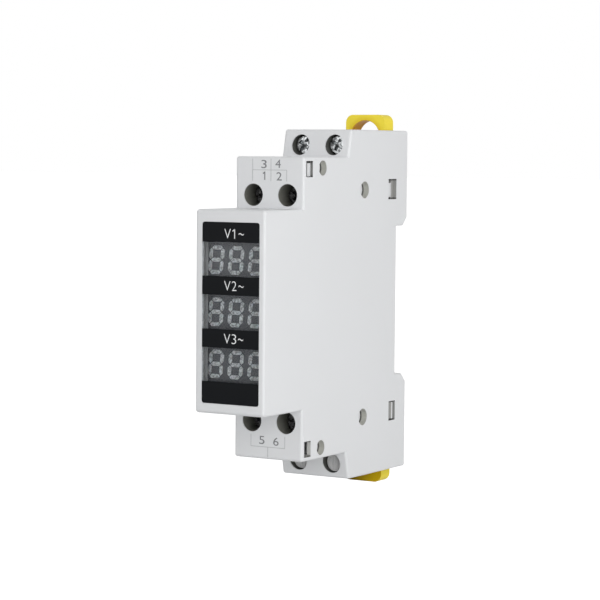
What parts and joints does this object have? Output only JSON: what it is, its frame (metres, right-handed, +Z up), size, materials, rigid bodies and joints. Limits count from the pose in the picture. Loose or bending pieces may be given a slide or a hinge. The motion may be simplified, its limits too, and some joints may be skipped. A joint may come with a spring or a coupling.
{
  "type": "three-phase rail-mounted voltage meter",
  "caption": "One-module digital voltage meter for a 35 mm rail: stepped housing, display window in the nose, rising-cage screw terminals on stepped tiers, and sliding rail clips.",
  "frame": {"origin": "middle of the rail seat, midway across the width and midway up the rail slot", "axes": "+Y out of the back towards the rail, +Z up along the housing's length, +X towards the side cover; the display faces -Y"},
  "size_m": [0.018, 0.0642, 0.0884],
  "materials": {
    "housing": "fine matt light grey moulding",
    "lens": "clear polished lens with black printed bars",
    "display_face": "grey display face",
    "segment": "milky unlit segment",
    "board": "green lacquered board",
    "header": "black strip",
    "screw": "bright nickel plate",
    "cage": "zinc-plated steel",
    "contact": "tinned brass",
    "plug": "grey blanking plug",
    "clip": "yellow moulding",
    "film": "boxed film capacitor",
    "can": "aluminium can",
    "chip": "black moulded package",
    "resistor": "lacquered resistor"
  },
  "bodies": {
    "housing": {"housing_shell": "housing", "side_cover": "housing", "display_window": "lens", "display_top": "display_face", "segments_top": "segment", "display_middle": "display_face", "segments_middle": "segment", "display_bottom": "display_face", "segments_bottom": "segment", "display_board": "board", "main_board": "board", "board_header": "header", "film_capacitor": "film", "filter_capacitor": "can", "bridge_rectifier": "chip", "control_chip": "chip", "input_resistors": "resistor", "blanking_plug_7": "plug", "blanking_plug_8": "plug", "contact_bar_1": "contact", "contact_bar_2": "contact", "contact_bar_3": "contact", "contact_bar_4": "contact", "contact_bar_5": "contact", "contact_bar_6": "contact"},
    "screw_1": {"terminal_screw_1": "screw"},
    "cage_1": {"terminal_cage_1": "cage"},
    "screw_2": {"terminal_screw_2": "screw"},
    "cage_2": {"terminal_cage_2": "cage"},
    "screw_3": {"terminal_screw_3": "screw"},
    "cage_3": {"terminal_cage_3": "cage"},
    "screw_4": {"terminal_screw_4": "screw"},
    "cage_4": {"terminal_cage_4": "cage"},
    "screw_5": {"terminal_screw_5": "screw"},
    "cage_5": {"terminal_cage_5": "cage"},
    "screw_6": {"terminal_screw_6": "screw"},
    "cage_6": {"terminal_cage_6": "cage"},
    "clip_top": {"rail_clip_top": "clip"},
    "clip_bottom": {"rail_clip_bottom": "clip"}
  },
  "joints": [
    {"name": "screw_1_turn", "type": "hinge", "parent": "housing", "child": "screw_1", "pos_m": [-0.0043, -0.0386, 0.0255], "axis": [0, 1, 0], "range_deg": [0, 2880]},
    {"name": "cage_1_rise", "type": "slide", "parent": "housing", "child": "cage_1", "axis": [0, -1, 0], "range_m": [0, 0.004]},
    {"name": "screw_2_turn", "type": "hinge", "parent": "housing", "child": "screw_2", "pos_m": [0.0047, -0.0386, 0.0255], "axis": [0, 1, 0], "range_deg": [0, 2880]},
    {"name": "cage_2_rise", "type": "slide", "parent": "housing", "child": "cage_2", "axis": [0, -1, 0], "range_m": [0, 0.004]},
    {"name": "screw_3_turn", "type": "hinge", "parent": "housing", "child": "screw_3", "pos_m": [-0.0043, -0.0209, 0.03685], "axis": [0, 1, 0], "range_deg": [0, 2880]},
    {"name": "cage_3_rise", "type": "slide", "parent": "housing", "child": "cage_3", "axis": [0, -1, 0], "range_m": [0, 0.004]},
    {"name": "screw_4_turn", "type": "hinge", "parent": "housing", "child": "screw_4", "pos_m": [0.0047, -0.0209, 0.03685], "axis": [0, 1, 0], "range_deg": [0, 2880]},
    {"name": "cage_4_rise", "type": "slide", "parent": "housing", "child": "cage_4", "axis": [0, -1, 0], "range_m": [0, 0.004]},
    {"name": "screw_5_turn", "type": "hinge", "parent": "housing", "child": "screw_5", "pos_m": [-0.0043, -0.0386, -0.0255], "axis": [0, 1, 0], "range_deg": [0, 2880]},
    {"name": "cage_5_rise", "type": "slide", "parent": "housing", "child": "cage_5", "axis": [0, -1, 0], "range_m": [0, 0.004]},
    {"name": "screw_6_turn", "type": "hinge", "parent": "housing", "child": "screw_6", "pos_m": [0.0047, -0.0386, -0.0255], "axis": [0, 1, 0], "range_deg": [0, 2880]},
    {"name": "cage_6_rise", "type": "slide", "parent": "housing", "child": "cage_6", "axis": [0, -1, 0], "range_m": [0, 0.004]},
    {"name": "clip_top_slide", "type": "slide", "parent": "housing", "child": "clip_top", "axis": [0, 0, 1], "range_m": [0, 0.003], "stiffness_N_per_m": 2500, "springref_m": -0.0008},
    {"name": "clip_bottom_slide", "type": "slide", "parent": "housing", "child": "clip_bottom", "axis": [0, 0, -1], "range_m": [0, 0.003], "stiffness_N_per_m": 2500, "springref_m": -0.0008}
  ],
  "couplings": [
    {"joint": "screw_1_turn", "follows": "cage_1_rise", "rad_per_m": 12566},
    {"joint": "screw_2_turn", "follows": "cage_2_rise", "rad_per_m": 12566},
    {"joint": "screw_3_turn", "follows": "cage_3_rise", "rad_per_m": 12566},
    {"joint": "screw_4_turn", "follows": "cage_4_rise", "rad_per_m": 12566},
    {"joint": "screw_5_turn", "follows": "cage_5_rise", "rad_per_m": 12566},
    {"joint": "screw_6_turn", "follows": "cage_6_rise", "rad_per_m": 12566}
  ]
}
